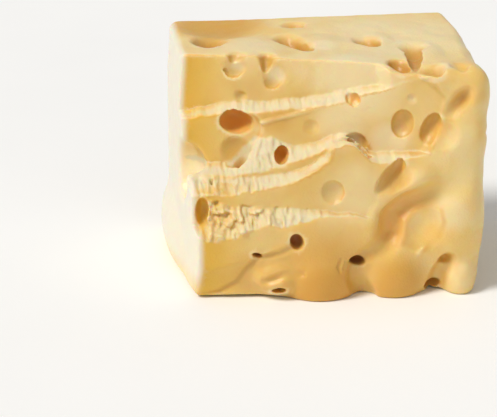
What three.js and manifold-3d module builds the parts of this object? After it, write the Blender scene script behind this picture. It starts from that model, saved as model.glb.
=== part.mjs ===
// A torn block of cheese with eyes. Millimetres, +Z up.
// The block is one solid: a body with a natural skin, whose front was torn away in four
// upright layers with a sloping ledge under each, and which is open wherever an eye was cut.
// The origin is the middle of its bounding box, on the face that it stands on.
import * as THREE from "three";
import { mergeVertices } from "three/addons/utils/BufferGeometryUtils.js";
import Module from "manifold-3d";

// Driving dimensions: the body before it was torn, with x across, y to the back and z up.
const WIDTH = 149;
const DEPTH = 115;
const HEIGHT = 120;
const LEFT_EDGE_RADIUS = 4;
const RIGHT_EDGE_RADIUS = 9;
const BODY_STEP = 7;
const CUT_STEP = 6;

// The torn layers, from the top one down. Each is an upright plane, y = depth + slant * x. Its right
// edge, as [z, x] points, is where the tear runs out to the skin, by coming forward beyond it.
const LAYERS = {
  top: { depth: -33.5, slant: -0.3, edge: [[112, 46]] },
  second: { depth: -40, slant: -0.27, edge: [[73, 39], [80, 44.6], [91, 45.7], [97, 52], [116, 60]] },
  between: { depth: -48, slant: -0.2, edge: [[64, 21]] },
  third: { depth: -54, slant: -0.165, edge: [[45, 15.5], [54, 20], [65, 21], [73, 30]] },
  lowest: { depth: -61, slant: -0.12, edge: [[9, -61], [16, -47], [25, -41], [33.5, -26], [44, -12]] },
};
const RUN_OUT = 0.8;

// Ledge lines, as [x, z] along the width: the line at the back and the line at the front.
const LEDGES = {
  topBack: [[-74, 89], [-57, 93.5], [-45, 97], [-22, 99], [2, 103.5], [17, 107], [33, 112.6], [50, 116.5]],
  topFront: [[-74, 88], [-58, 91.5], [-39, 92], [-23, 94], [-6, 98], [6, 101.4], [16, 105.5], [33, 111.6], [50, 115.5]],
  secondBack: [[-74, 64], [-60, 64.5], [-50, 66], [-38, 80], [-28, 80], [-19, 76.5], [0, 79.5], [16, 75], [38, 76.5]],
  secondFront: [[-74, 61], [-49, 62], [-36, 65], [-24, 69], [-9, 75], [0, 80], [5, 82.5], [10, 81], [18, 74], [38, 75]],
  thirdBack: [[-74, 60], [-52, 61.2], [-32, 63], [-17, 66], [-9, 70.6], [-2, 78.6], [5, 81.8], [10, 80], [18, 73], [38, 74]],
  thirdFront: [[-74, 53], [-60, 53.5], [-45, 56], [-30, 59.5], [-13, 66], [-5, 73], [2, 80.5], [10, 79], [18, 72], [38, 73]],
  lowestBack: [[-74, 37], [-67, 37], [-63, 50], [-52, 48.5], [-22, 48.4], [-2, 47.2], [16, 46]],
  lowestFront: [[-74, 34], [-61, 32.5], [-46, 37.5], [-33, 41], [-18, 41.7], [4, 44.4], [16, 45]],
};

// Swellings (height above 0) and hollows (height below 0) of the skin, each along a path.
const FRONT = -58;
const SKIN_FORMS = [
  { path: [[-12, FRONT, 12], [4, FRONT, 12]], reach: 9, height: 5.5 },
  { path: [[22, FRONT, 12], [43, FRONT, 11]], reach: 9, height: 5.5 },
  { path: [[66, FRONT, 11]], reach: 8, height: 2.5 },
  { path: [[56, FRONT, 57], [33, FRONT, 49], [27, FRONT, 40], [11, FRONT, 22], [10, FRONT, 5]], reach: 4.5, height: -6 },
  { path: [[43, FRONT, 36]], reach: 7, height: -6 },
  { path: [[58, FRONT, 20], [53, FRONT, 5]], reach: 3.5, height: -5 },
  { path: [[-20, FRONT, 31], [-40, FRONT, 25]], reach: 4.5, height: -6 },
  { path: [[-72, FRONT, 0], [-45, FRONT, 4]], reach: 10, height: -4 },
  { path: [[61, FRONT, 103]], reach: 6, height: -2 },
  { path: [[49, FRONT, 86], [52, FRONT, 96]], reach: 7, height: -5.5 },
  { path: [[25, FRONT, 60], [33, FRONT, 72]], reach: 6, height: -5 },
  { path: [[40, FRONT, 60], [60, FRONT, 72]], reach: 7, height: 1.5 },
  { path: [[-78, 45, 17], [-76, 0, 12]], reach: 9, height: 5.5 },
  { path: [[76, -48, 108]], reach: 9, height: 2.5 },
  { path: [[75, -20, 40], [75, 30, 70]], reach: 14, height: 2 },
  { path: [[75, 10, 95], [75, 40, 30]], reach: 10, height: -2.5 },
  { path: [[-60, 34, HEIGHT], [-62, 8, HEIGHT]], reach: 5, height: -3 },
  { path: [[-10, 25, HEIGHT], [-11, -6, HEIGHT]], reach: 6, height: -3.5 },
  { path: [[24, 6, HEIGHT]], reach: 7, height: -3 },
  { path: [[44, -12, HEIGHT], [42, -40, HEIGHT]], reach: 6, height: -5.5 },
  { path: [[31, -40, HEIGHT], [33, -58, HEIGHT]], reach: 6, height: -5 },
  { path: [[48, -48, HEIGHT]], reach: 5, height: -3 },
];

// Eyes that the tearing opened: which layer, [x, z] of the middle, half width, half height, depth.
const EYES = [
  { layer: "top", at: [-47.5, 113.5], size: [5.5, 5.5, 4] },
  { layer: "top", at: [-29.5, 110], size: [4.5, 11, 5] },
  { layer: "second", at: [-47.3, 87.3], size: [8, 6.5, 9] },
  { layer: "second", at: [-45.5, 71], size: [9.5, 9.5, 4.5] },
  { layer: "second", at: [-72, 62], size: [11, 14, 10] },
  { layer: "second", at: [7.6, 104.6], size: [3.2, 3.4, 3] },
  { layer: "second", at: [12.3, 104.2], size: [3.2, 3.6, 3] },
  { layer: "second", at: [34.3, 90.7], size: [5.8, 7.2, 5.5] },
  { layer: "second", at: [10.9, 79.5], size: [6.5, 5.5, 4.5] },
  { layer: "second", at: [-25.5, 72.5], size: [3.8, 4.5, 7] },
  { layer: "third", at: [-1.6, 57.2], size: [6.2, 6.6, 3] },
  { layer: "third", at: [-67, 45], size: [3.5, 7, 5] },
];

// Eyes in the cut face at the back: [x, z] of the middle, radius, depth.
const BACK_EYES = [
  { at: [-48, 84], radius: 8.5, depth: 6.5 },
  { at: [-20, 47], radius: 6.5, depth: 5 },
  { at: [7, 92], radius: 5.5, depth: 4 },
  { at: [28, 62], radius: 9.5, depth: 7 },
  { at: [-58, 30], radius: 5, depth: 3.5 },
  { at: [48, 96], radius: 5, depth: 4 },
  { at: [44, 27], radius: 6, depth: 4.5 },
];
const EYE_SIDES = 14;
const EYE_RINGS = 9;

const clamp = THREE.MathUtils.clamp;
const mix = THREE.MathUtils.lerp;
const ease = THREE.MathUtils.smoothstep;

// Second value of a line of paired values where the first one is x, level past the line's ends.
function valueOn(line, x) {
  const last = line.length - 1;
  if (x <= line[0][0]) {
    return line[0][1];
  }
  for (let i = 0; i < last; i += 1) {
    const [x0, z0] = line[i];
    const [x1, z1] = line[i + 1];
    if (x <= x1) {
      return mix(z0, z1, (x - x0) / (x1 - x0));
    }
  }
  return line[last][1];
}

// Depth of a torn layer at x across and z up.
function layerAt(layer, x, z) {
  const beyond = Math.max(0, x - valueOn(layer.edge, z));
  return layer.depth + layer.slant * x - RUN_OUT * beyond;
}

// A box whose shared vertices are merged, ready to be moved one by one.
function mergedBox(width, depth, height, across, back, up) {
  return bare(new THREE.BoxGeometry(width, depth, height, across, back, up));
}

function bare(geometry) {
  geometry.deleteAttribute("normal");
  geometry.deleteAttribute("uv");
  return mergeVertices(geometry, 1e-3);
}

function moveVertices(geometry, move) {
  const position = geometry.attributes.position;
  const point = new THREE.Vector3();
  for (let i = 0; i < position.count; i += 1) {
    point.fromBufferAttribute(position, i);
    move(point);
    position.setXYZ(i, point.x, point.y, point.z);
  }
  return geometry;
}

// Distance from a point to a path of straight stretches, or to its only point.
function distanceToPath(point, path) {
  const corners = path.map((corner) => new THREE.Vector3(...corner));
  let nearest = point.distanceTo(corners[0]);
  const foot = new THREE.Vector3();
  for (let i = 0; i + 1 < corners.length; i += 1) {
    new THREE.Line3(corners[i], corners[i + 1]).closestPointToPoint(point, true, foot);
    nearest = Math.min(nearest, point.distanceTo(foot));
  }
  return nearest;
}

// How far the skin swells out at a point: the sum of its swellings and hollows.
function skinSwell(point) {
  let swell = 0;
  for (const { path, reach, height } of SKIN_FORMS) {
    const near = distanceToPath(point, path) / reach;
    swell += height * Math.exp(-near * near);
  }
  return swell;
}

// The left face bows a little: it is fullest at the back and draws in towards the front.
function leftFaceShift(point) {
  const share = clamp(-point.x / (WIDTH / 2), 0, 1);
  const forward = ease(-point.y, -20, DEPTH / 2);
  return share * mix(-2.2, 4, forward);
}

function skinBody() {
  const count = (length) => Math.round(length / BODY_STEP);
  const body = mergedBox(WIDTH, DEPTH, HEIGHT, count(WIDTH), count(DEPTH), count(HEIGHT));
  return moveVertices(body, (point) => {
    const radius = mix(LEFT_EDGE_RADIUS, RIGHT_EDGE_RADIUS, ease(point.x, -WIDTH / 4, WIDTH / 2));
    const core = point.clone();
    core.x = clamp(point.x, -WIDTH / 2 + radius, WIDTH / 2 - radius);
    core.y = clamp(point.y, -DEPTH / 2 + radius, DEPTH / 2 - radius);
    core.z = clamp(point.z, -HEIGHT / 2 + radius, HEIGHT / 2 - radius);
    const outward = point.clone().sub(core).normalize();
    point.copy(core).addScaledVector(outward, radius);
    point.z += HEIGHT / 2;
    point.addScaledVector(outward, skinSwell(point));
    point.x += leftFaceShift(point);
    point.z = Math.max(point.z, 0);
  });
}

// The ledge lines at x from the bottom up, each with its layer and the rows up to the next line.
function tornLines(x) {
  const { top, second, between, third, lowest } = LAYERS;
  const step = x < 0 ? between : third;
  return [
    { z: -20, layer: lowest, rows: 6 },
    { z: valueOn(LEDGES.lowestFront, x), layer: lowest, rows: 1 },
    { z: valueOn(LEDGES.lowestBack, x), layer: third, rows: 3 },
    { z: valueOn(LEDGES.thirdFront, x), layer: third, rows: 1 },
    { z: valueOn(LEDGES.thirdBack, x), layer: step, rows: 1 },
    { z: valueOn(LEDGES.secondFront, x), layer: step, rows: 1 },
    { z: valueOn(LEDGES.secondBack, x), layer: second, rows: 3 },
    { z: valueOn(LEDGES.topFront, x), layer: second, rows: 1 },
    { z: valueOn(LEDGES.topBack, x), layer: top, rows: 1 },
    { z: HEIGHT + 20, layer: top, rows: 0 },
  ];
}

// The torn front at x as [depth, height] pairs from the bottom up.
function tornSection(x) {
  const lines = tornLines(x);
  const section = [];
  lines.forEach(({ z, layer, rows }, i) => {
    const next = lines[i + 1];
    for (let row = 0; row < rows; row += 1) {
      const share = row / rows;
      const height = mix(z, next.z, share);
      section.push([mix(layerAt(layer, x, height), layerAt(next.layer, x, height), share), height]);
    }
  });
  const highest = lines[lines.length - 1];
  section.push([layerAt(highest.layer, x, highest.z), highest.z]);
  return section;
}

// Everything that was torn away: a slab in front of the block whose back is the torn front.
function tornAway() {
  const span = WIDTH + 30;
  const rowCount = tornSection(0).length - 1;
  const slab = mergedBox(span, 1, rowCount, Math.round(span / CUT_STEP), 1, rowCount);
  return moveVertices(slab, (point) => {
    const row = Math.round(point.z + rowCount / 2);
    const [depth, height] = tornSection(point.x)[row];
    point.z = height;
    point.y = point.y > 0 ? depth : -2 * DEPTH;
  });
}

function eye(middle, halfWidth, halfDepth, halfHeight) {
  const ball = bare(new THREE.SphereGeometry(1, EYE_SIDES, EYE_RINGS));
  ball.rotateX(Math.PI / 2);
  ball.scale(halfWidth, halfDepth, halfHeight);
  return ball.translate(middle.x, middle.y, middle.z);
}

function tornEyes() {
  return EYES.map(({ layer, at, size }) => {
    const [halfWidth, halfHeight, depth] = size;
    const middle = new THREE.Vector3(at[0], layerAt(LAYERS[layer], ...at), at[1]);
    return eye(middle, halfWidth, depth, halfHeight);
  });
}

function backEyes() {
  return BACK_EYES.map(({ at, radius, depth }) => {
    const middle = new THREE.Vector3(at[0], DEPTH / 2, at[1]);
    return eye(middle, radius, depth, radius);
  });
}

const wasm = await Module();
wasm.setup();

function solid(geometry) {
  const vertProperties = new Float32Array(geometry.attributes.position.array);
  const triVerts = new Uint32Array(geometry.index.array);
  return new wasm.Manifold(new wasm.Mesh({ numProp: 3, vertProperties, triVerts }));
}

function geometryOf(body) {
  const { vertProperties, triVerts } = body.getMesh();
  const geometry = new THREE.BufferGeometry();
  geometry.setAttribute("position", new THREE.BufferAttribute(vertProperties, 3));
  geometry.setIndex(new THREE.BufferAttribute(triVerts, 1));
  return geometry;
}

function cheeseBlock() {
  let block = solid(skinBody()).subtract(solid(tornAway()));
  for (const hollow of [...tornEyes(), ...backEyes()]) {
    block = block.subtract(solid(hollow));
  }
  const geometry = geometryOf(block);
  geometry.computeBoundingBox();
  const middle = geometry.boundingBox.getCenter(new THREE.Vector3());
  geometry.translate(-middle.x, -middle.y, -geometry.boundingBox.min.z);
  geometry.computeVertexNormals();
  const look = new THREE.MeshStandardMaterial({ color: 0xe8cf98, roughness: 0.6, metalness: 0 });
  const mesh = new THREE.Mesh(geometry, look);
  mesh.name = "cheese_block";
  return mesh;
}

const group = new THREE.Group();
group.add(cheeseBlock());

export default group;
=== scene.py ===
"""A torn block of holey cheese: the fine surface, materials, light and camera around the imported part.

The block is one piece. Its surface is worked out as a distance field in millimetres, in the block's own
axes: x across the width, y from the torn front to the back and z up, with the middle of the uncut block
at x = y = 0 and its base at z = 0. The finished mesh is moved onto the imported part, in metres.
"""

import functools
import math

import bpy
import numpy as np
import openvdb
from mathutils import Euler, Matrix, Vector


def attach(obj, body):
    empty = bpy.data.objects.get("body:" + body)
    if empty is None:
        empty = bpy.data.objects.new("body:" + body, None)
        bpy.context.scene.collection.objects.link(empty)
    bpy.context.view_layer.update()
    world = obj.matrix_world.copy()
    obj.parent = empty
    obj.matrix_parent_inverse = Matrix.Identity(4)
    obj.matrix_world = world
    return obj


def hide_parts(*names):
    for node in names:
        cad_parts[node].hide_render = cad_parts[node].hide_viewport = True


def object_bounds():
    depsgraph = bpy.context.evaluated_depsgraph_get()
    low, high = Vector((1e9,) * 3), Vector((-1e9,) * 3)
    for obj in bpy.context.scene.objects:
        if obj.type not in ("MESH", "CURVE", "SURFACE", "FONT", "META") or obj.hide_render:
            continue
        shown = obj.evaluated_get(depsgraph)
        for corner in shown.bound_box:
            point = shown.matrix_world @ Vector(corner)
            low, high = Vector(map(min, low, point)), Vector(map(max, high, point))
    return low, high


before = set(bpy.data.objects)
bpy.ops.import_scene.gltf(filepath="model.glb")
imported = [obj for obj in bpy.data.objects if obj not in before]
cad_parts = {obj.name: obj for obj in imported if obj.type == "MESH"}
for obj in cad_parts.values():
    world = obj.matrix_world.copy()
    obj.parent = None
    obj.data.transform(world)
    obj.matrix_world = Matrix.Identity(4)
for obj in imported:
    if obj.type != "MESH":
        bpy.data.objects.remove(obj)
CAD_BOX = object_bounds()

MM = 0.001

# The uncut block: its faces, how the left face draws in towards the front and the top, and its edges.
HEIGHT = 120.0
BACK = 58.3
FRONT = -57.5
RIGHT = 76.9
LEFT_AT_BACK = -77.0
LEFT_DRAW_IN = 7.2
LEFT_DRAW_POWER = 3.7
LEFT_DRAW_RUN = 109.0
LEFT_TOP_DRAW_IN = 1.6
EDGE_LEFT = 2.6
EDGE_RIGHT = 9.0
EDGE_BACK = 4.5

# The grid that the surface is taken from: its cell, how many cells make a coarse one, and how near the
# surface, in coarse cells, a coarse one is worked out finely.
CELL = 0.58
COARSE = 4
NEAR_SURFACE = 1.35
LOW = np.array([-90.0, -72.0, -6.0], np.float32)
HIGH = np.array([86.0, 64.0, 126.0], np.float32)
MOST_TRIANGLES = 190_000

# The torn layers: each is an upright plane, y = depth + slant * x. Its right edge, as (z, x) points,
# is where the tear runs out to the skin, by coming forward beyond it, but never in front of a layer that
# it is "behind".
LAYERS = {
    "top": {"depth": -33.5, "slant": -0.30, "edge": [(104, 24), (119, 21)], "behind": "second"},
    "second": {"depth": -40.0, "slant": -0.27,
               "edge": [(73, 39), (80, 44.6), (91, 45.7), (97, 52), (106, 53), (113, 44), (119, 38)]},
    "between": {"depth": -48.0, "slant": -0.20, "edge": [(64, 21)]},
    "third": {"depth": -54.0, "slant": -0.165, "edge": [(45, 15.5), (54, 20), (65, 21), (73, 30)]},
    "lowest": {"depth": -61.0, "slant": -0.12,
               "edge": [(9, -61), (16, -47), (25, -41), (33.5, -26), (44, -12)]},
}
# How fast a layer comes forward beyond its edge, the furthest forward that it comes, and the gap that it
# keeps from the layer it is behind.
RUN_OUT = 0.8
FOREMOST = -67.0
LAYER_GAP = 0.5

# Ledge lines, as (x, z) along the width: the line at the back of each ledge and the one at its front.
LEDGES = {
    "top_back": [(-74, 89.3), (-65, 91), (-57, 93.6), (-52, 95.5), (-45, 97), (-30, 97.4), (-15, 99.8),
                 (-5, 101.5), (7, 105.8), (24, 108.9), (33.5, 112.6), (43, 115.4), (50, 118), (58, 120.5)],
    "top_front": [(-74, 88.6), (-65.5, 90), (-53, 91.6), (-44, 92), (-30.6, 94.2), (-23, 95.2), (-6, 98.1),
                  (6, 101.4), (15.8, 106), (23, 107.8), (32.6, 111.8), (42, 115.1), (50, 117.7), (58, 120.3)],
    "second_back": [(-74, 64), (-60.6, 64.3), (-49.6, 66), (-44, 73), (-38, 80), (-28, 80), (-19.6, 76.2),
                    (-8.3, 77.9), (0, 82.3), (5, 83.6), (9, 83.4), (12, 81), (18, 75), (28.6, 75.6),
                    (38.4, 76.3)],
    "second_front": [(-74, 61.6), (-49.2, 61.8), (-35.7, 64.9), (-24.2, 69), (-9.4, 74.8), (0, 81.3),
                     (5, 82.9), (9, 82.7), (12, 80.4), (18, 74), (24, 72.4), (38, 75.2)],
    "third_back": [(-74, 61), (-51.7, 61.3), (-41.6, 62), (-31.7, 63.4), (-16.7, 66.6), (-9.3, 70.6),
                   (-4.4, 75), (0, 80.9), (5, 82.6), (9, 82.4), (12, 80.2), (18, 73.8), (24, 72.2), (38, 75)],
    "third_front": [(-74, 53), (-60, 53.5), (-45, 56), (-30, 59.5), (-17.5, 63.5), (-7.7, 70.1),
                    (-3, 75), (0, 80.3), (5, 82.2), (9, 82), (12, 79.8), (18, 73.4), (24, 72), (38, 74.8)],
    "lowest_back": [(-74, 37.5), (-67.6, 37), (-65.1, 40), (-63.8, 50.7), (-60, 50.8), (-52.4, 48.3),
                    (-22.4, 48.4), (-2.4, 47.2), (7.6, 45.8), (20, 43.4)],
    "lowest_front": [(-74, 36), (-69.9, 34.9), (-60.9, 32.8), (-52.4, 34.5), (-45.9, 37.7), (-33.3, 41.6),
                     (-24.3, 40.5), (-8.4, 43.9), (4.1, 44.4), (20, 42.8)],
}

# Where the tear crumbled, as the middle and half width of a patch in x and z.
CRUMBLE_MIDDLE = (-52, 43)
CRUMBLE_SPREAD = (20, 12)
# In mm: how far the ledge lines wander, how deep the fibres and the broken flats of a ledge are, and the long
# waves of the whole tear. The CRUMBLE_ values are added where the tear crumbled.
WANDER = 0.5
CRUMBLE_WANDER = 1.1
FIBRES = 1.7
BROKEN_FLATS = 0.5
CRUMBLE_FLATS = 2.7
TEAR_WAVES = 0.35


# Small tools for fields.

def smooth_max(a, b, blend):
    """The larger of two distances, with the corner between them rounded over about blend mm."""
    mixed = np.maximum(blend - np.abs(a - b), 0.0) / blend
    return np.maximum(a, b) + mixed * mixed * (blend * 0.25)


def smooth_min(a, b, blend):
    return -smooth_max(-a, -b, blend)


def ease(start, end, value):
    """0 at the start and 1 at the end, with a smooth change between. The start may be the larger one."""
    share = np.clip((value - start) / (end - start), 0.0, 1.0)
    return share * share * (3.0 - 2.0 * share)


def noise(seed, *coordinates):
    """Smooth random value from -1 to 1 at each point, with one random number at each whole coordinate."""
    size = 64
    numbers = np.random.default_rng(seed).uniform(-1.0, 1.0, (size,) * len(coordinates)).astype(np.float32)
    cells = [np.floor(c).astype(np.int32) for c in coordinates]
    shares = [c - cell for c, cell in zip(coordinates, cells)]
    shares = [s * s * s * (s * (s * 6.0 - 15.0) + 10.0) for s in shares]
    total = 0.0
    for corner in np.ndindex(*(2,) * len(coordinates)):
        weight = 1.0
        for step, share in zip(corner, shares):
            weight = weight * (share if step else 1.0 - share)
        total = total + weight * numbers[tuple((cell + step) % size for cell, step in zip(cells, corner))]
    return total


def fractal(seed, octaves, *coordinates):
    total = 0.0
    for octave in range(octaves):
        scale = 2.03 ** octave
        total = total + noise(seed + octave, *(c * scale + 7.3 * octave for c in coordinates)) / 1.9 ** octave
    return total


def facets(seed, x, z):
    """A broken face: each jittered cell of about 1 unit is its own tilted flat, from about -1 to 1."""
    size = 64
    numbers = np.random.default_rng(seed).uniform(-1.0, 1.0, (5, size, size)).astype(np.float32)
    cell_x = np.floor(x).astype(np.int32)
    cell_z = np.floor(z).astype(np.int32)
    nearest = np.full(x.shape, 1e9, np.float32)
    value = np.zeros(x.shape, np.float32)
    for step_x in (-1, 0, 1):
        for step_z in (-1, 0, 1):
            at = ((cell_x + step_x) % size, (cell_z + step_z) % size)
            from_x = x - (cell_x + step_x + 0.5 + 0.45 * numbers[0][at])
            from_z = z - (cell_z + step_z + 0.5 + 0.45 * numbers[1][at])
            distance = from_x * from_x + from_z * from_z
            flat = 0.6 * numbers[2][at] + 0.6 * (numbers[3][at] * from_x + numbers[4][at] * from_z)
            value = np.where(distance < nearest, flat, value)
            nearest = np.minimum(nearest, distance)
    return value


def turn_matrix(degrees):
    return np.array(Euler([math.radians(d) for d in degrees]).to_matrix(), np.float32)


def ellipsoid(points, middle, radii, turn):
    local = (points - np.float32(middle)) @ turn_matrix(turn)
    scaled = np.linalg.norm(local / np.float32(radii), axis=1)
    steep = np.linalg.norm(local / np.float32(radii) ** 2, axis=1)
    return scaled * (scaled - 1.0) / np.maximum(steep, 1e-6)


def path_distance(points, path):
    """Distance to a path of straight stretches, each end with its own radius: (x, y, z, radius)."""
    nearest = np.full(len(points), 1e9, np.float32)
    for start, end in zip(path, path[1:]):
        start = np.float32(start)
        along = np.float32(end) - start
        offset = points - start[:3]
        share = np.clip(offset @ along[:3] / (along[:3] @ along[:3]), 0.0, 1.0)
        distance = np.linalg.norm(offset - share[:, None] * along[:3], axis=1)
        nearest = np.minimum(nearest, distance - (start[3] + share * along[3]))
    return nearest


# The torn front, as a table of depths over x and z.

TABLE_STEP = 0.3
TABLE_X = np.arange(-92.0, 88.0, TABLE_STEP, dtype=np.float32)
TABLE_Z = np.arange(-8.0, 128.0, TABLE_STEP, dtype=np.float32)


def value_on(line, at):
    return np.interp(at, [p[0] for p in line], [p[1] for p in line])


def layer_at(layer, x, z):
    """Where a layer lies along y, at x and z."""
    beyond = np.maximum(0.0, x - value_on(layer["edge"], z))
    depth = np.maximum(layer["depth"] + layer["slant"] * x - RUN_OUT * beyond, FOREMOST)
    if "behind" in layer:
        depth = np.maximum(depth, layer_at(LAYERS[layer["behind"]], x, z) + LAYER_GAP)
    return depth


def blur(table, millimetres):
    """Smooths a table with a bell curve that is this wide."""
    reach = int(math.ceil(3.0 * millimetres / TABLE_STEP))
    weights = np.exp(-0.5 * (np.arange(-reach, reach + 1) * TABLE_STEP / millimetres) ** 2)
    weights /= weights.sum()
    for axis in (0, 1):
        padded = np.pad(table, [(reach, reach) if a == axis else (0, 0) for a in (0, 1)], mode="edge")
        table = sum(w * np.take(padded, range(i, i + table.shape[axis]), axis) for i, w in enumerate(weights))
    return table.astype(np.float32)


def sample(table, x, z):
    """Reads a table between its points."""
    along = np.clip((x - TABLE_X[0]) / TABLE_STEP, 0, len(TABLE_X) - 1.001)
    up = np.clip((z - TABLE_Z[0]) / TABLE_STEP, 0, len(TABLE_Z) - 1.001)
    i = along.astype(np.int32)
    j = up.astype(np.int32)
    s = (along - i).astype(np.float32)
    t = (up - j).astype(np.float32)
    low = table[i, j] * (1 - s) + table[i + 1, j] * s
    high = table[i, j + 1] * (1 - s) + table[i + 1, j + 1] * s
    return low * (1 - t) + high * t


def torn_lines(x):
    """The ledge lines at x from the bottom up: height, layer, and whether the stretch above is a ledge."""
    lines = {name: value_on(line, x) for name, line in LEDGES.items()}
    step = "between" if x < -3 else "third"
    return [
        (-20.0, "lowest", 0), (lines["lowest_front"], "lowest", 1),
        (lines["lowest_back"], "third", 0), (lines["third_front"], "third", 1),
        (lines["third_back"], step, 0), (lines["second_front"], step, 1),
        (lines["second_back"], "second", 0), (lines["top_front"], "second", 1),
        (lines["top_back"], "top", 0), (HEIGHT + 20.0, "top", 0),
    ]


def layered_tables():
    """The ledge lines and layers with no raggedness: depth, and which of it is ledge, over x and z."""
    depth = np.zeros((len(TABLE_X), len(TABLE_Z)), np.float32)
    ledge = np.zeros_like(depth)
    columns = np.arange(len(TABLE_Z))
    for i, x in enumerate(TABLE_X):
        lines = torn_lines(x)
        heights = [z for z, _, _ in lines]
        stretch = np.clip(np.searchsorted(heights, TABLE_Z, side="right") - 1, 0, len(lines) - 2)
        low = np.take(heights, stretch)
        share = (TABLE_Z - low) / np.maximum(np.take(heights, stretch + 1) - low, 0.05)
        layers = np.array([layer_at(LAYERS[name], x, TABLE_Z) for _, name, _ in lines])
        depth[i] = layers[stretch, columns] * (1 - share) + layers[stretch + 1, columns] * share
        ledge[i] = np.take([is_ledge for _, _, is_ledge in lines], stretch)
    return depth, ledge


def torn_tables():
    """Depth of the torn front, how much of it is ledge, and its steepness correction, over x and z."""
    x, z = np.meshgrid(TABLE_X, TABLE_Z, indexing="ij")
    from_x = (x - CRUMBLE_MIDDLE[0]) / CRUMBLE_SPREAD[0]
    from_z = (z - CRUMBLE_MIDDLE[1]) / CRUMBLE_SPREAD[1]
    crumbly = np.exp(-from_x ** 2 - from_z ** 2)
    # Ragged ledge lines: the tables are read at places that wander, most where the tear crumbled.
    depth, ledge = layered_tables()
    wander = WANDER + CRUMBLE_WANDER * crumbly
    read_x = x + wander * fractal(11, 3, x / 4.0, z / 4.0)
    read_z = z + 0.8 * wander * fractal(21, 4, x / 5.0, z / 9.0) + 0.35 * fractal(31, 3, x / 1.3, z / 6.0)
    depth = sample(depth, read_x, read_z)
    ledge = blur(sample(ledge, read_x, read_z), 0.35)
    # Fibres that run down each ledge, and broken flats, most where it crumbled.
    fibres = np.abs(fractal(41, 3, x / 1.8 + 0.25 * fractal(45, 2, x / 9, z / 9), z / 7.0))
    broken = facets(51, x / 5.0, z / 4.2) + 0.5 * facets(53, x / 2.1, z / 1.9)
    depth = depth + ledge * (FIBRES * (fibres - 0.4) + (BROKEN_FLATS + CRUMBLE_FLATS * crumbly) * broken)
    depth = blur(depth + TEAR_WAVES * fractal(61, 3, x / 16.0, z / 22.0), 0.36)
    return depth, ledge, steepness(depth)


def steepness(depth):
    """What turns a distance along y into one across the surface: 1, and less where the depth slopes."""
    slope_x, slope_z = np.gradient(depth, TABLE_STEP)
    steep = 1.0 / np.sqrt(1.0 + blur(slope_x, 0.6) ** 2 + blur(slope_z, 0.6) ** 2)
    return steep.astype(np.float32)


# The natural skin.

# Swellings joined to the body: middle, radii, turn in degrees, and how softly they blend.
LOBES = [
    # belly, right lobe, foot and the low lobe under the fold
    ((-6, -40, 11), (22.5, 21.5, 27), (0, 0, 0), 5),
    ((32, -42.5, 9), (18, 18, 21), (0, 0, 0), 4),
    ((66, -46, 9), (9.6, 13.5, 16), (0, 0, 0), 4),
    ((-29, -47, 12), (14, 12.4, 11), (0, 12, 0), 3),
    # the bulge under the left face, and the swellings of the right side
    ((-73, 22, 15), (9.5, 42, 17), (0, 0, 2), 7),
    ((67, -45, 105), (10.6, 12.5, 12), (0, 0, 0), 6),
    ((62, -48, 84), (13, 9.5, 14), (0, -20, 0), 7),
    ((41, -49, 63), (13, 10.5, 8), (0, -30, 0), 4),
    ((62, -46, 40), (14, 14.5, 22), (0, 0, 0), 7),
]

# Hollows in the front: middle, radii, turn and blend. y is how far the middle lies behind the front.
FRONT_HOLLOWS = [
    ((60.5, -2.5, 102.5), (4.2, 6, 10), (0, 35, 0), 3),
    ((47.6, 0.6, 88.6), (4.4, 5.4, 9.2), (0, 24, 20), 0.8),
    ((53, -4.6, 87), (8, 7.6, 9.6), (0, 24, 0), 2.5),
    ((27.4, 0.2, 65), (4.4, 4.6, 11.5), (0, 38, 18), 1.4),
    ((31, -4, 63), (6, 7, 11), (0, 38, 0), 2.0),
    ((43.8, -4.4, 37.5), (10, 8.4, 14.2), (0, 14, 0), 3.5),
    ((11.6, 1, 20.2), (4.2, 9, 2.7), (0, 14, 0), 0.8),
    ((-19.6, 1, 32.2), (3.4, 6, 4.4), (0, -15, 0), 0.8),
    ((-39.5, 0.5, 25.2), (2.6, 5, 1.4), (0, 18, 0), 0.6),
    ((-28.5, 1, 6.2), (3.6, 6, 1.8), (0, 0, 0), 0.8),
    ((57.0, -0.5, 18.8), (2.6, 5.6, 3.6), (0, 40, 0), 1.4),
    ((51.6, 2, 4.0), (4.4, 8, 2.6), (0, -14, 0), 0.8),
]

# Valleys and creases of the front, as (x, behind the front, z, radius) points and how softly they blend.
CREASES = [
    ([(60, -6.4, 58.6, 7), (47, -4, 55.0, 7), (37, -0.5, 50, 6.6), (29.5, 0.5, 44, 6.4),
      (28.6, 0.5, 35.6, 6.4), (24, -3.5, 28, 6.2)], 4.5),
    ([(24, -3, 28, 6.4), (16, -2.5, 23.6, 5), (11, -2, 18.6, 4.4), (11, -2.6, 11, 4.6), (16, -2, 0, 6)], 2),
    ([(58.4, -1.6, 20, 3.0), (54.6, -1.8, 12, 4.0), (53, -1.6, 5, 4.2)], 2.4),
    ([(-17, -0.8, 15.6, 1.6), (-27, -0.8, 15.0, 2.4), (-36, -0.6, 11.4, 2.0)], 1.6),
    ([(-52.2, 0.6, 112.4, 0.8), (-50.2, 0.6, 110.2, 1.2), (-47.6, 0.7, 109.8, 1.0),
      (-44.4, 0.7, 111.6, 0.6)], 0.5),
    ([(40.4, -0.2, 47.6, 0.9), (41.2, -0.2, 43.8, 1.2), (44.6, -0.2, 43.2, 0.8)], 0.5),
    ([(3.2, -0.3, 22.5, 0.8), (1.6, -0.3, 19, 1.1), (2.4, -0.3, 16, 0.6)], 0.8),
    ([(6, -0.3, 20.5, 0.9), (4.6, -0.3, 17.5, 0.9)], 0.8),
]
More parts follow.
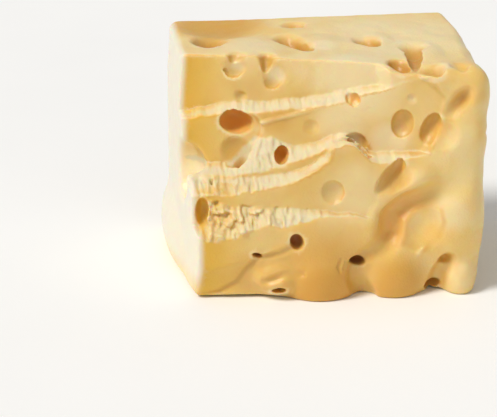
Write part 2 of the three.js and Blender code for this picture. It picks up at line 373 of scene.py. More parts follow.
# Folds, as creases but with one blend for all and a brown painted shadow line along them.
FOLDS = [
    [(-19, -0.4, 31, 1.3), (-28, -0.4, 26.4, 1.3), (-39, -0.2, 23.8, 1.2), (-45, -0.2, 17.4, 1.3),
     (-49.6, -0.2, 9.4, 1.3), (-58, 0, 4, 1.2), (-68, 0, 2, 0.8)],
]
FOLD_BLEND = 2.2
# Ridges of the front, in the same form as creases.
RIDGES = [
    ([(52.4, 0.2, 47, 1.4), (53.4, 0.1, 41, 1.9), (51.4, 0.3, 34, 1.4)], 1.6),
    ([(48.6, 0.3, 32, 1.2), (46, 0.1, 27.6, 1.9), (43, 0.3, 24, 1.4)], 1.6),
    ([(38, -0.2, 41, 1.6), (38.4, -0.2, 36, 2.4), (36.6, -0.2, 31, 1.6)], 2.0),
    ([(-52.6, 0.5, 111.6, 0.7), (-50.6, 0.4, 109, 0.8), (-47.6, 0.4, 108.4, 0.8),
      (-43.4, 0.6, 110.8, 0.6)], 0.6),
    ([(-37.4, 0.3, 87.0, 1.2), (-26, 0.3, 90.8, 1.2), (-12, 0.3, 95.0, 1.0), (-5, 0.5, 97.8, 0.7)], 1.2),
]
# The block rounds under near its base, so the front is read no lower than this.
FRONT_FOOT = 6.0

# Broad dips of the top: middle, radii, turn and blend.
TOP_DIPS = [
    ((-47, 41, 123.2), (25, 25, 5.2), (6, 0, -10), 2),
    ((36, -53, 122.6), (15, 13, 6.6), (0, 0, 0), 4),
]
# Pits in the top: middle, radii and turn. Each has a crisp lip at its front end and is open to the back.
TOP_PITS = [
    ((-57.4, 10.5, 119.6), (8.4, 15, 7.4), (20, 0, -2)),
    ((-9.6, 37, 120.2), (5.0, 5.8, 4.2), (14, 0, 20)),
    ((-15.2, 6.5, 119.6), (6.4, 13, 8.4), (20, 0, 14)),
    ((-10.4, -4.5, 120), (4.6, 11.5, 5.2), (20, 0, 14)),
    ((24.6, 1.5, 119.8), (5.8, 10, 6.0), (20, 0, 18)),
    ((34.0, -39.8, 117.6), (4.9, 7.2, 5.0), (0, 0, 16)),
    ((45.8, -12, 120.6), (6.0, 11, 5.4), (20, 0, -8)),
    ((49.2, -52, 119.4), (4.8, 6.0, 3.6), (10, 0, 16)),
    ((62.8, -50, 120.2), (3.4, 4.8, 3.0), (10, 0, 10)),
]
# How softly a pit or a bowl blends at its crisp end, and how much more at its open end.
CRISP_LIP = 0.4
OPEN_BACK = 3.6

# Clefts of the top, as (x, y, z, radius) points and blend: the largest pit narrows to a tip.
TOP_CLEFTS = [
    ([(44.2, -22, 118.6, 4.4), (43.0, -33, 118.4, 3.8), (40.6, -47.5, 118.4, 1.4)], 0.8),
]
# Low swellings of the top beside the pits.
TOP_SWELLINGS = [
    ((-38, -4, 116), (22, 26, 4.9), (0, 0, 0), 3),
    ((2.5, 4, 117), (9, 16, 3.8), (0, 0, 0), 2.5),
    ((31, 8, 117), (7, 13, 3.7), (0, 0, 0), 2.5),
    ((53, -16, 117), (7, 15, 3.7), (0, 0, 0), 2.5),
    ((56, -46, 117), (6, 9, 3.5), (0, 0, 0), 2.5),
]

# Eyes that the tearing opened: layer, (x, z), how far the middle lies behind the face,
# (half width, depth, half height), turn and blend.
EYES = [
    ("top", (-44.5, 99.3), -0.6, (2.6, 2.2, 2.2), (0, 0, 0), 2.0),
    ("second", (-47.4, 87.2), 3.4, (8.4, 12, 6.0), (0, 6, 0), 0.5),
    ("second", (-43.6, 84.0), -0.8, (8.6, 2.2, 8.0), (0, 0, 0), 3.0),
    ("second", (-47.6, 71.4), -0.9, (8.0, 3.4, 8.2), (-10, 0, -12), 1.4),
    ("second", (-45.0, 63.4), -2.0, (3.4, 3.4, 6.5), (0, 0, 0), 2.4),
    ("second", (-76.4, 60.0), 1.0, (14.4, 12, 15.6), (0, 0, 0), 4.0),
    ("second", (-10.8, 86.8), -1.0, (3.4, 2.2, 3.0), (0, 0, 0), 2.4),
    ("second", (8.2, 104.2), 0.6, (2.2, 4.4, 4.6), (0, -10, 0), 0.3),
    ("second", (10.6, 102.2), 0.6, (3.0, 4.0, 3.4), (0, 0, 0), 0.3),
    ("second", (34.3, 90.7), -0.2, (5.7, 4.3, 7.6), (0, 8, -26), 0.4),
    ("second", (10.9, 79.2), -0.6, (6.4, 2.6, 5.8), (0, 0, 0), 0.5),
    ("second", (-25.4, 72.3), -3.0, (3.6, 9, 4.6), (0, 18, 0), 0.4),
    ("second", (38.2, 104.0), -0.8, (2.0, 1.6, 2.0), (0, 0, 0), 1.4),
    ("third", (-1.6, 57.0), -0.6, (6.2, 3.2, 6.6), (0, 0, 0), 0.5),
    ("third", (-66.3, 45.2), 0.5, (3.6, 5.6, 7.4), (0, 0, 0), 0.6),
]

# Bowls of the top layer, as eyes with no blend of their own. Each is crisp at its lower rim and open above.
BOWLS = [
    ("top", (-47.8, 113.2), -0.8, (5.0, 2.7, 4.8), (24, 0, 0)),
    ("top", (-47.2, 119.8), 0.0, (3.0, 3.4, 4.8), (0, 20, 0)),
    ("top", (-28.7, 109.6), -0.8, (5.2, 3.0, 6.4), (24, 14, 0)),
    ("top", (-31.6, 118.6), 0.4, (2.8, 4.4, 7.0), (0, 4, 0)),
]

# Slits in the tear: (x, y, z, radius) points and blend. Here y is a place and not a depth.
SLITS = [
    ([(-34.2, -24.6, 108.5, 0.9), (-36.6, -23.4, 104.5, 0.4)], 0.5),
    ([(-61.2, -37, 60, 0.9), (-60.4, -38, 57, 1.1), (-63.4, -39, 53.6, 0.5)], 0.5),
    ([(13.5, -47, 78.6, 0.9), (16, -49, 75.6, 1.3), (19.4, -51, 72.6, 0.7)], 0.8),
    ([(0, -46.5, 82.5, 1.4), (6, -48, 83.3, 2.5), (12, -49.5, 80.3, 2.4), (17, -51, 75.6, 1.4)], 1.2),
]

# Eyes in the cut face at the back, and dimples of the skin at the right: middle, radii, turn, blend.
BACK_EYES = [
    ((-48, 58, 84), (8.6, 6.4, 8.2), (0, 0, 0), 0.7),
    ((-20, 58, 47), (6.6, 5.2, 6.2), (0, 0, 0), 0.7),
    ((7, 58.5, 92), (5.6, 4.4, 5.2), (0, 0, 0), 0.7),
    ((28, 58, 62), (9.6, 7.2, 9.2), (0, 0, 0), 0.7),
    ((36.5, 58, 70), (5.2, 4.2, 5.0), (0, 0, 0), 0.6),
    ((-58, 58, 30), (5.2, 3.8, 5.2), (0, 0, 0), 0.7),
    ((48, 58, 96), (5.2, 4.2, 5.0), (0, 0, 0), 0.7),
    ((44, 58, 27), (6.2, 4.8, 5.8), (0, 0, 0), 0.7),
    ((-22, 58, 104), (3.4, 2.4, 3.2), (0, 0, 0), 0.6),
    ((2, 58, 22), (3.8, 2.6, 3.6), (0, 0, 0), 0.6),
]
SIDE_HOLLOWS = [
    ((79.5, -34, 88), (3.6, 22, 2.2), (8, 0, 0), 2.5),
    ((80, 6, 86), (5.2, 11, 8), (20, 0, 0), 4),
    ((80, 34, 58), (5.0, 9, 13), (-15, 0, 0), 4),
    ((79.5, -8, 52), (4.4, 7, 6), (0, 0, 0), 2.5),
    ((79.8, 14, 24), (5.0, 12, 7), (10, 0, 0), 4),
    ((79.2, -30, 22), (3.8, 6, 8), (0, 0, 0), 2.5),
    ((79.0, 40, 88), (3.6, 6, 5), (0, 0, 0), 2),
]


# Where the colour departs from the rule, each place as x, y, z, reach, and how far it goes there.
# Small eyes of the skin, laid dark with painted shade.
HOLE_SHADE_PLACES = [
    (11.5, -52, 22.5, 9, 1.0), (-19.6, -50, 32, 8, 0.8), (-39.5, -52, 25, 5, 0.9),
    (-28.5, -53, 6.2, 6, 0.9), (52.5, -52, 3.2, 9, 0.9),
]
# Painted shade, deep orange: in deep eyes of the tear and in valleys and hollows of the skin.
DEEP_SHADE_PLACES = [
    # eyes of the tear
    (-47.4, -18, 87.5, 13, 1.0), (-25.4, -30, 72.3, 10, 1.0), (10, -38, 103.4, 8, 0.4),
    (32.4, -46, 91, 7, 0.3),
    # valleys and hollows of the skin
    (29, -52, 40, 15, 0.45), (38, -54, 52, 11, 0.4), (27, -52, 65, 12, 0.15), (48, -54, 88, 10, 0.25),
    (60, -54, 102, 10, 0.3),
]
# Painted light, laid pale even in a hollow: lit walls, and light through thin cheese.
PALE_LIGHT_WALLS = [
    # the eye at the left edge
    (-68, -10, 52, 18, 1.0), (-68, -30, 58, 13, 1.0),
    # the rims of the round bowl, the eye on the lip of the second ledge and a small eye near the top
    (-39, -30, 67, 7, 0.8), (-36, -31, 76, 6, 0.7), (-37.6, -31, 84, 5, 0.7), (7, -43, 82, 12, 0.8),
    (38.2, -51, 104, 4, 0.5),
    # the bowls of the top layer, and the foot
    (-46.4, -20, 114, 5.5, 0.8), (-27, -25, 111, 7, 0.8), (64, -58, 11, 11, 0.3),
]
# Painted light, laid pale on raised places; it is taken out of hollows and pits.
PALE_LIGHT_PLACES = [
    # the raised top between the pits
    (40, 6, 120, 66, 0.6), (-38, -6, 120, 24, 0.6), (-14, -30, 120, 16, 0.4), (1, -4, 120, 13, 0.85),
    (32, 2, 120, 9, 0.85), (51, -10, 120, 9, 0.85), (57, -18, 120, 9, 0.6), (56, -48, 118, 8, 0.85),
    (0, 45, 120, 12, 0.3),
    # the right of the torn front
    (12, -40, 114, 34, 0.75), (28, -46, 80, 16, 0.7), (36, -50, 104, 26, 0.1), (10, -56, 58, 22, 0.4),
    (4, -44, 90, 19, 0.6),
    # swellings of the skin
    (58, -60, 47, 14, 0.5), (62, -59, 83, 12, 0.4), (40, -60, 62, 9, 0.4), (74, -50, 60, 30, 0.25),
]
# Painted shade, laid golden: under the lobes, in the valley beside the belly and in hollows at the left of
# the tear; the back of the top and its front right corner are laid golden too.
GOLDEN_SHADE_PLACES = [
    # the back of the top, and its front right corner
    (-52, 46, 120, 36, 1.0), (70, -52, 106, 8, 0.4),
    # the undersides of the lobes, and the valley beside the belly
    (-3, -62, 2, 34, 1.0), (-4, -60, 16, 34, 0.75), (-40, -55, 12, 12, 0.3), (-42, -56, 12, 20, 0.6),
    (33, -62, 6, 24, 0.9), (27, -58, 38, 13, 0.5),
    # the left of the torn front
    (-47, -26, 72, 11, 0.6), (-66, -42, 45, 9, 1.0), (-28, -32, 91, 12, 0.6), (-44, -24, 108, 16, 0.35),
]
# Crumbled parts of the ledges, which take less of the ledge's colour.
CRUMBLY_PLACES = [(-57, -42, 44, 24, 0.5), (-38, -46, 45, 18, 0.35)]
# Within this share of its reach, a place has all of its colour.
FULL_WITHIN = 0.35
# How far out a neighbouring surface lays the golden painted shade in a hollow, the same for the smallest
# hollows, and how far in a thin edge takes the pale painted light.
HOLLOW_REACH = 9.0
FINE_REACH = 1.8
EDGE_REACH = 2.2
# Spans in mm over which a share rises from none to all of it. The first is the tear's distance less the
# skin's. The next three are depths, below 0, under the surface as it was before anything sank into it.
TORN_SPAN = (-0.8, 0.4)
PIT_SHADE_SPAN = (-1.2, -6.0)
DEEP_SHADE_SPAN = (-1.0, -4.0)
HOLE_SHADE_SPAN = (-1.5, -5.0)
# The distance to a fold, and places along z and y.
FOLD_SPAN = (0.6, -0.7)
NEAR_TOP = (100, 106)
ABOVE_FOOT = (-2, 16)
NEAR_FRONT = (-40, -46)
# How far in from the left face the painted glow reaches, and where the paler painted light of the lit left
# face ends.
PAINTED_GLOW_FROM_LEFT = (32.0, 0.0)
LIT_LEFT_FACE_EDGE = (4.0, 0.6)


def joined(distance, points, middle, radii, turn, blend):
    near = nearby(points, middle, max(radii) + 2 * blend + CELL * 3)
    swelling = ellipsoid(points[near], middle, radii, turn)
    distance[near] = smooth_min(distance[near], swelling, blend)


def carved(distance, points, middle, radii, turn, blend):
    near = nearby(points, middle, max(radii) + 2 * blend + CELL * 3)
    hollow = ellipsoid(points[near], middle, radii, turn)
    distance[near] = smooth_max(distance[near], -hollow, blend)


def scooped(distance, points, middle, radii, turn, axis):
    """Carves a hollow that is crisp at the low end of one of its own axes and soft at the high end."""
    near = nearby(points, middle, max(radii) + 2 * OPEN_BACK)
    part = points[near]
    along = ((part - np.float32(middle)) @ turn_matrix(turn))[:, axis] / radii[axis]
    blend = CRISP_LIP + OPEN_BACK * ease(-0.7, 0.3, along)
    distance[near] = smooth_max(distance[near], -ellipsoid(part, middle, radii, turn), blend)


def creased(distance, points, path, blend):
    near = near_path(points, path, blend)
    distance[near] = smooth_max(distance[near], -path_distance(points[near], path), blend)


def ridged(distance, points, path, blend):
    near = near_path(points, path, blend)
    distance[near] = smooth_min(distance[near], path_distance(points[near], path), blend)


def near_path(points, path, blend):
    corners = np.float32(path)
    low = corners[:, :3].min(0)
    high = corners[:, :3].max(0)
    reach = float((high - low).max()) / 2 + corners[:, 3].max() + 2 * blend + 2
    return nearby(points, (low + high) / 2, reach)


def nearby(points, middle, reach):
    """Numbers of the points inside a cube. The points are in order of x, which narrows the search."""
    first, last = np.searchsorted(points[:, 0], (middle[0] - reach, middle[0] + reach))
    part = points[first:last]
    inside = (np.abs(part[:, 1] - middle[1]) < reach) & (np.abs(part[:, 2] - middle[2]) < reach)
    return first + np.flatnonzero(inside)


def left_face(points):
    """Where the left face lies: it bows out at the back and draws in towards the front and the top."""
    _, y, z = points.T
    forward = np.clip((BACK - y) / LEFT_DRAW_RUN, 0.0, 1.1)
    return LEFT_AT_BACK + LEFT_DRAW_IN * forward ** LEFT_DRAW_POWER + LEFT_TOP_DRAW_IN * ease(88, 124, z)


def top_face(x, y, roll):
    """The top rises a little towards the back right, and waves except at the back and the left edge."""
    top = HEIGHT + 0.3 * roll + 0.9 * ease(-40, 70, x) * ease(-20, 50, y)
    return top + 0.7 * noise(73, x / 13, y / 15) * ease(46, 10, y) * ease(-62, -40, x)


def right_face(y, z, roll):
    """The right face draws in at its foot and at the back."""
    return RIGHT + 0.3 * roll - 2.6 * ease(26, -4, z) - 1.5 * ease(26, 58, y)


def front_face(x, z, low, roll):
    """The front draws in under the lobes, towards the lower left corner, and in a broad dip at the right."""
    front = FRONT + 5.5 * low + 3.0 * ease(-10, -70, x) * ease(40, 5, z)
    return front + 2.2 * np.exp(-((x - 52) / 13) ** 2 - ((z - 96) / 15) ** 2) - 0.5 * roll


def uncut_block(points):
    """The rounded block under the lobes: flat faces that wander a little, and rounded edges."""
    x, y, z = points.T
    roll = noise(71, x / 31, y / 31, z / 31)
    low = ease(30, 4, z)
    faces = [
        left_face(points) - x, x - right_face(y, z, roll),
        front_face(x, z, low, roll) - y, y - BACK,
        z - top_face(x, y, roll), 1.2 * low - z,
    ]
    edge = EDGE_LEFT + (EDGE_RIGHT - EDGE_LEFT) * ease(44, 72, x)
    edge = edge + (EDGE_BACK - edge) * ease(-24, 30, y)
    outside = np.zeros_like(x)
    for face in faces:
        outside += np.maximum(face + edge, 0.0) ** 2
    return np.minimum(np.maximum.reduce(faces), -edge) + np.sqrt(outside)


TEAR_DEPTH, TEAR_LEDGE, TEAR_STEEP = torn_tables()


def swollen_block(points):
    """The skin before anything sank into it."""
    distance = uncut_block(points)
    for lobe in LOBES + TOP_SWELLINGS:
        joined(distance, points, *lobe)
    return distance


def skin_distance(points):
    """The natural skin, with its dips and pits and a fine unevenness, but with nothing torn away."""
    distance = swollen_block(points)
    for hollow in SIDE_HOLLOWS:
        carved(distance, points, *hollow)
    for dip in TOP_DIPS:
        carved(distance, points, *dip)
    for pit in TOP_PITS:
        scooped(distance, points, *pit, axis=1)
    for path, blend in TOP_CLEFTS:
        creased(distance, points, path, blend)
    x, y, z = points.T
    return distance + 0.12 * noise(81, x / 4, y / 4, z / 4)


@functools.cache
def front_at(x, z):
    """How far forward the front lies at x and z, before anything sank into it."""
    y = np.arange(-75.0, 0.0, 0.2, dtype=np.float32)
    column = np.stack([np.full_like(y, x), y, np.full_like(y, z)], axis=1)
    inside = np.maximum(swollen_block(column), tear_distance(column)) < 0
    return float(y[np.argmax(inside)])


def on_front(path):
    """Turns points whose y is how far behind the front they lie into points of the block."""
    return [(x, front_at(x, max(z, FRONT_FOOT)) + behind, z, *radius) for x, behind, z, *radius in path]


def tear_distance(points):
    """Distance to the torn front, below 0 behind it."""
    x, y, z = points.T
    return (sample(TEAR_DEPTH, x, z) - y) * sample(TEAR_STEEP, x, z)


def cheese_distance(points):
    """Distance to the surface of the block in mm, below 0 inside."""
    distance = smooth_max(skin_distance(points), tear_distance(points), 1.0)
    for path, blend in RIDGES:
        ridged(distance, points, on_front(path), blend)
    for path, blend in CREASES:
        creased(distance, points, on_front(path), blend)
    for path in FOLDS:
        creased(distance, points, on_front(path), FOLD_BLEND)
    for middle, radii, turn, blend in FRONT_HOLLOWS:
        carved(distance, points, on_front([middle])[0], radii, turn, blend)
    for layer, (x, z), behind, radii, turn, blend in EYES:
        middle = (x, float(layer_at(LAYERS[layer], x, z)) + behind, z)
        carved(distance, points, middle, radii, turn, blend)
    for layer, (x, z), behind, radii, turn in BOWLS:
        middle = (x, float(layer_at(LAYERS[layer], x, z)) + behind, z)
        scooped(distance, points, middle, radii, turn, axis=2)
    for path, blend in SLITS:
        creased(distance, points, path, blend)
    for hollow in BACK_EYES:
        carved(distance, points, *hollow)
    return smooth_max(distance, -points[:, 2], 1.2)


# The mesh.

def grid_points(low, cell, cells):
    """The points that lie this many cells from the low corner, in millimetres."""
    return (low + cell * cells).astype(np.float32)


def distance_grid():
    """The distance at every cell of a fine grid, worked out only in the coarse cells near the surface."""
    coarse = CELL * COARSE
    counts = np.ceil((HIGH - LOW) / coarse).astype(int)
    cells = np.indices(counts).reshape(3, -1).T
    middles = grid_points(LOW, coarse, cells + 0.5)
    rough = cheese_distance(middles)
    near = np.abs(rough) < coarse * NEAR_SURFACE
    fine = np.where(rough > 0, coarse, -coarse).astype(np.float32).reshape(counts)
    for axis in range(3):
        fine = np.repeat(fine, COARSE, axis)
    inside = np.indices((COARSE,) * 3).reshape(3, -1).T
    fine_cells = (cells[near][:, None, :] * COARSE + inside[None]).reshape(-1, 3)
    fine_cells = fine_cells[np.argsort(fine_cells[:, 0], kind="stable")]
    values = cheese_distance(grid_points(LOW, CELL, fine_cells))
    fine[tuple(fine_cells.T)] = np.clip(values, -coarse, coarse)
    return fine


def cheese_mesh():
    grid = openvdb.FloatGrid()
    grid.background = CELL * COARSE
    grid.copyFromArray(distance_grid())
    corners, quads = grid.convertToQuads(isovalue=0.0)
    mesh = bpy.data.meshes.new("cheese_block_surface")
    mesh.from_pydata(LOW + CELL * corners, [], quads)
    mesh.update()
    return mesh


def thinned(piece):
    """Lowers the number of triangles, mostly on the even faces, as an applied modifier."""
    triangles = sum(len(p.vertices) - 2 for p in piece.data.polygons)
    thin = piece.modifiers.new("thin", "DECIMATE")
    thin.ratio = min(1.0, MOST_TRIANGLES / triangles)
    evaluated = piece.evaluated_get(bpy.context.evaluated_depsgraph_get())
    mesh = bpy.data.meshes.new_from_object(evaluated)
    piece.modifiers.clear()
    piece.data = mesh


def vertex_array(mesh):
    flat = np.empty(len(mesh.vertices) * 3, np.float32)
    mesh.vertices.foreach_get("co", flat)
    return flat.reshape(-1, 3)


def paint(mesh, name, values):
    """Stores a share from 0 to 1 at each vertex, for the material to read."""
    layer = mesh.attributes.new(name, "FLOAT", "POINT")
    layer.data.foreach_set("value", np.clip(values, 0, 1).astype(np.float32))


def share_near(points, places):
    share = np.zeros(len(points), np.float32)
    for x, y, z, reach, most in places:
        away = np.linalg.norm(points - np.float32((x, y, z)), axis=1)
        share = np.maximum(share, most * ease(reach, FULL_WITHIN * reach, away))
    return share


def in_order(field, points):
    """Values of a field at points in any order."""
    order = np.argsort(points[:, 0], kind="stable")
    values = np.empty(len(points), np.float32)
    values[order] = field(points[order])
    return values


def normal_array(mesh):
    flat = np.empty(len(mesh.vertices) * 3, np.float32)
    mesh.vertex_normals.foreach_get("vector", flat)
    return flat.reshape(-1, 3)


def hollow_share(points, normals):
    """How far a point lies in a hollow, judged by the room that is left outside it along its normal: painted
    shade.
    """
    room = in_order(cheese_distance, points + HOLLOW_REACH * normals) / HOLLOW_REACH
    fine_room = in_order(cheese_distance, points + FINE_REACH * normals) / FINE_REACH
    return 0.85 * np.maximum(ease(0.95, 0.25, room), 0.8 * ease(0.97, 0.45, fine_room))


def thin_share(points, normals):
    """How far a point lies on a thin edge, judged by the cheese that is behind it along its normal, for
    painted light.
    """
    left = -in_order(cheese_distance, points - EDGE_REACH * normals) / EDGE_REACH
    return 0.7 * ease(0.85, 0.4, left)


def paint_shares(mesh):
    """Paints where each colour of the material goes, most of them painted shade and painted light."""
    points = vertex_array(mesh)
    normals = normal_array(mesh)
    x, y, z = points.T
    tear = tear_distance(points)
    torn = ease(*TORN_SPAN, tear - in_order(skin_distance, points))
    depth = np.maximum(in_order(swollen_block, points), tear)
    from_left = x - left_face(points)
    hollow = hollow_share(points, normals)
    # Painted shade: darker in the pits of the top, the deeper the darker.
    pit_shade = ease(*PIT_SHADE_SPAN, depth) * ease(*NEAR_TOP, z) * (1 - torn)
    ledge = sample(TEAR_LEDGE, x, z) * torn * (1 - share_near(points, CRUMBLY_PLACES))
    # Painted light: pale on thin edges and raised places, less in hollows and pits, and on the listed lit
    # walls.
    pale_light = np.maximum(thin_share(points, normals), share_near(points, PALE_LIGHT_PLACES))
    pale_light = pale_light * (1 - hollow) * (1 - pit_shade)
    fold = np.min([path_distance(points, on_front(path)) for path in FOLDS], axis=0)
    paint(mesh, "torn", torn)
    # Painted shade: the ledge colour is taken out of hollows, so the golden shade shows there.
    paint(mesh, "ledge", ledge * (1 - 0.8 * hollow))
    # Painted shade: golden in hollows and at the listed places.
    paint(mesh, "golden_shade", np.maximum(hollow, share_near(points, GOLDEN_SHADE_PLACES)))
    # Painted light: a warm glow on the torn front near the lit left face, as of light coming through the
    # cheese.
    paint(mesh, "painted_glow", ease(*PAINTED_GLOW_FROM_LEFT, from_left) * np.maximum(torn, ease(*NEAR_FRONT, y)))
    paint(mesh, "pale_light", np.maximum(pale_light, share_near(points, PALE_LIGHT_WALLS)))
    # Painted light: the left face, which the key light lights most, laid paler above its foot.
    paint(mesh, "left", ease(*LIT_LEFT_FACE_EDGE, from_left) * ease(*ABOVE_FOOT, z))
    # Painted shade: deep orange in deep eyes and valleys.
    paint(mesh, "deep_shade", share_near(points, DEEP_SHADE_PLACES) * ease(*DEEP_SHADE_SPAN, depth))
    paint(mesh, "pit_shade", pit_shade)
    # Painted shadow: a brown line along the folds.
    paint(mesh, "fold", 0.8 * ease(*FOLD_SPAN, fold))
    # Painted shade: dark in small eyes of the skin.
    paint(mesh, "hole_shade", share_near(points, HOLE_SHADE_PLACES) * ease(*HOLE_SHADE_SPAN, depth))


def make_cheese():
    """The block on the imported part, and how far it moved from the block's own axes to get there."""
    piece = bpy.data.objects.new("cheese", cheese_mesh())
    bpy.context.scene.collection.objects.link(piece)
    thinned(piece)
    mesh = piece.data
    mesh.shade_smooth()
    paint_shares(mesh)
    points = vertex_array(mesh)
    low = points.min(0)
    high = points.max(0)
    shift = np.float32([-(low[0] + high[0]) / 2, -(low[1] + high[1]) / 2, -low[2]])
    cad_middle = (CAD_BOX[0] + CAD_BOX[1]) / 2
    place = np.float32([cad_middle.x, cad_middle.y, CAD_BOX[0].z])
    mesh.vertices.foreach_set("co", ((points + shift) * MM + place).ravel())
    mesh.update()
    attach(piece, "root")
    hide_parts("cheese_block")
    return piece, Vector(shift) * MM + Vector(place)


# Material.

def add_node(tree, kind, **settings):
    node = tree.nodes.new(kind)
    for name, value in settings.items():
        setattr(node, name, value)
    return node


def mix_colour(tree, share, first, second):
    node = add_node(tree, "ShaderNodeMix", data_type="RGBA")
    for socket, value in ((node.inputs[0], share), (node.inputs[6], first), (node.inputs[7], second)):
        if isinstance(value, bpy.types.NodeSocket):
            tree.links.new(value, socket)
        else:
            socket.default_value = value
    return node.outputs[2]


def share_of(tree, name):
    return add_node(tree, "ShaderNodeAttribute", attribute_name=name).outputs["Fac"]


def noise_share(tree, size, low, high, detail=3.0, stretch=(1, 1, 1)):
    """A noise of this size in metres, read as a share: 0 at its low value and 1 at its high one."""
    place = add_node(tree, "ShaderNodeTexCoord").outputs["Object"]
    mapping = add_node(tree, "ShaderNodeMapping")
    mapping.inputs["Scale"].default_value = [1 / size / s for s in stretch]
    tree.links.new(place, mapping.inputs["Vector"])
    texture = add_node(tree, "ShaderNodeTexNoise")
    texture.inputs["Scale"].default_value = 1.0
    texture.inputs["Detail"].default_value = detail
    tree.links.new(mapping.outputs[0], texture.inputs["Vector"])
    spread = add_node(tree, "ShaderNodeMapRange", interpolation_type="SMOOTHSTEP")
    spread.inputs["From Min"].default_value = low
    spread.inputs["From Max"].default_value = high
    tree.links.new(texture.outputs["Fac"], spread.inputs["Value"])
    return spread.outputs[0]


def calculate(tree, operation, *values):
    node = add_node(tree, "ShaderNodeMath", operation=operation)
    for socket, value in zip(node.inputs, values):
        if isinstance(value, bpy.types.NodeSocket):
            tree.links.new(value, socket)
        else:
            socket.default_value = value
    return node.outputs[0]


CUT = (0.80, 0.54, 0.17, 1)
CUT_PALE = (0.84, 0.61, 0.24, 1)
SKIN = (0.90, 0.62, 0.205, 1)
SKIN_PALE = (0.92, 0.70, 0.31, 1)
# Painted shade in hollows and under the lobes.
GOLDEN_SHADE = (0.73, 0.405, 0.075, 1)
# Painted light: the glow near the lit left face.
PAINTED_GLOW = (0.80, 0.49, 0.06, 1)
# Painted light on raised places, thin edges and lit walls.
PALE_LIGHT = (0.92, 0.78, 0.48, 1)
LEDGE = (0.77, 0.67, 0.43, 1)
# Painted light: the paler lit left face.
LIT_LEFT_FACE = (0.85, 0.78, 0.61, 1)
# Painted shade in deep eyes and valleys.
DEEP_SHADE = (0.98, 0.54, 0.15, 1)
# Painted shade in the pits of the top.
PIT_SHADE = (0.62, 0.32, 0.06, 1)
# Painted shadow along the folds.
FOLD_SHADOW = (0.56, 0.27, 0.06, 1)
# Painted shade in small eyes of the skin.
HOLE_SHADE = (0.34, 0.12, 0.06, 1)
# The colours laid over the skin and the cut, in this order, each where its own share is painted.
LAID_OVER = [
    ("golden_shade", GOLDEN_SHADE), ("painted_glow", PAINTED_GLOW), ("pale_light", PALE_LIGHT), ("ledge", LEDGE), ("left", LIT_LEFT_FACE),
    ("deep_shade", DEEP_SHADE), ("pit_shade", PIT_SHADE), ("fold", FOLD_SHADOW), ("hole_shade", HOLE_SHADE),
]


def cheese_material():
    material = bpy.data.materials.new("cheese")
    material.use_nodes = True
    tree = material.node_tree
    shader = tree.nodes["Principled BSDF"]
    shader.inputs["Subsurface Weight"].default_value = 0.75
    shader.inputs["Subsurface Radius"].default_value = (1.0, 0.45, 0.14)
    shader.inputs["Subsurface Scale"].default_value = 0.0022
    shader.inputs["Subsurface Anisotropy"].default_value = 0.3
    shader.inputs["IOR"].default_value = 1.45
    cut = mix_colour(tree, noise_share(tree, 0.03, 0.35, 0.65), CUT, CUT_PALE)
    skin = mix_colour(tree, noise_share(tree, 0.018, 0.35, 0.68), SKIN, SKIN_PALE)
    colour = mix_colour(tree, share_of(tree, "torn"), skin, cut)
    for name, over in LAID_OVER:
        colour = mix_colour(tree, share_of(tree, name), colour, over)
    tree.links.new(colour, shader.inputs["Base Color"])
    grain = noise_share(tree, 0.0012, 0.3, 0.7, detail=4.0)
    worn = noise_share(tree, 0.009, 0.3, 0.7)
    rough = calculate(tree, "MULTIPLY_ADD", share_of(tree, "ledge"), 0.32, 0.30)
    rough = calculate(tree, "MULTIPLY_ADD", worn, 0.10, rough)
    tree.links.new(rough, shader.inputs["Roughness"])
    bump = add_node(tree, "ShaderNodeBump")
    bump.inputs["Strength"].default_value = 0.25
    bump.inputs["Distance"].default_value = 0.0003
    tree.links.new(grain, bump.inputs["Height"])
    tree.links.new(bump.outputs[0], shader.inputs["Normal"])
    return material


# Floor, light and camera.

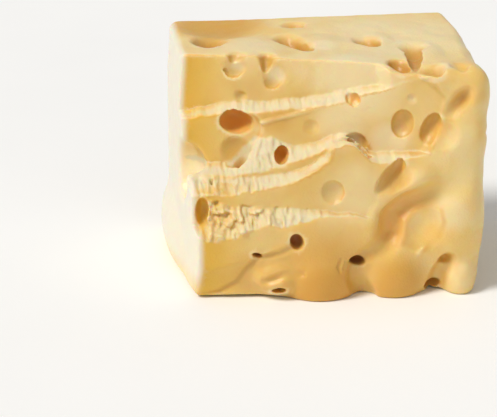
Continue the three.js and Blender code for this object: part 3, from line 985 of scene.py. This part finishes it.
def make_floor():
    bpy.ops.mesh.primitive_plane_add(size=12.0, location=(0, 0, 0))
    floor = bpy.context.object
    floor.name = "floor"
    material = bpy.data.materials.new("floor")
    material.use_nodes = True
    tree = material.node_tree
    shader = tree.nodes["Principled BSDF"]
    shader.inputs["Specular IOR Level"].default_value = 0.1
    colour = mix_colour(tree, noise_share(tree, 0.4, 0.3, 0.7), (0.94, 0.94, 0.93, 1), (0.97, 0.97, 0.96, 1))
    tree.links.new(colour, shader.inputs["Base Color"])
    rough = calculate(tree, "MULTIPLY_ADD", noise_share(tree, 0.05, 0.3, 0.7), 0.08, 0.82)
    tree.links.new(rough, shader.inputs["Roughness"])
    floor.data.materials.append(material)


def sun_light(name, comes_from, degrees_wide, strength, colour):
    light = bpy.data.lights.new(name, "SUN")
    light.angle = math.radians(degrees_wide)
    light.energy = strength
    light.color = colour
    lamp = bpy.data.objects.new(name, light)
    lamp.rotation_euler = (-Vector(comes_from)).to_track_quat("-Z", "Y").to_euler()
    bpy.context.scene.collection.objects.link(lamp)


# The key light, and the even light that comes from all round.
KEY_FROM = (-0.55, -0.26, 0.78)
KEY_DEGREES_WIDE = 18
KEY_STRENGTH = 2.2
KEY_COLOUR = (1.0, 0.98, 0.95)
EVEN_STRENGTH = 0.42


def make_lights():
    sun_light("key", KEY_FROM, KEY_DEGREES_WIDE, KEY_STRENGTH, KEY_COLOUR)
    world = bpy.data.worlds.new("studio")
    bpy.context.scene.world = world
    world.use_nodes = True
    background = world.node_tree.nodes["Background"]
    background.inputs["Color"].default_value = (1, 1, 1, 1)
    background.inputs["Strength"].default_value = EVEN_STRENGTH


# The camera's place in the block's own axes, where it looks in degrees, and its lens in mm.
CAMERA_PLACE = Vector((-141.1, -978.7, 388.7)) * MM
CAMERA_YAW = 6.0
CAMERA_PITCH = 20.0
LENS = 142.5
SENSOR_WIDTH = 36.0


def make_camera(shift):
    data = bpy.data.cameras.new("camera")
    data.lens = LENS
    data.sensor_width = SENSOR_WIDTH
    data.clip_end = 50.0
    camera = bpy.data.objects.new("camera", data)
    camera.location = CAMERA_PLACE + shift
    camera.rotation_euler = (math.radians(90 - CAMERA_PITCH), 0, math.radians(-CAMERA_YAW))
    bpy.context.scene.collection.objects.link(camera)
    bpy.context.scene.camera = camera


cheese, block_shift = make_cheese()
cheese.data.materials.clear()
cheese.data.materials.append(cheese_material())
make_floor()
make_lights()
make_camera(block_shift)
bpy.context.scene.view_settings.view_transform = "Standard"
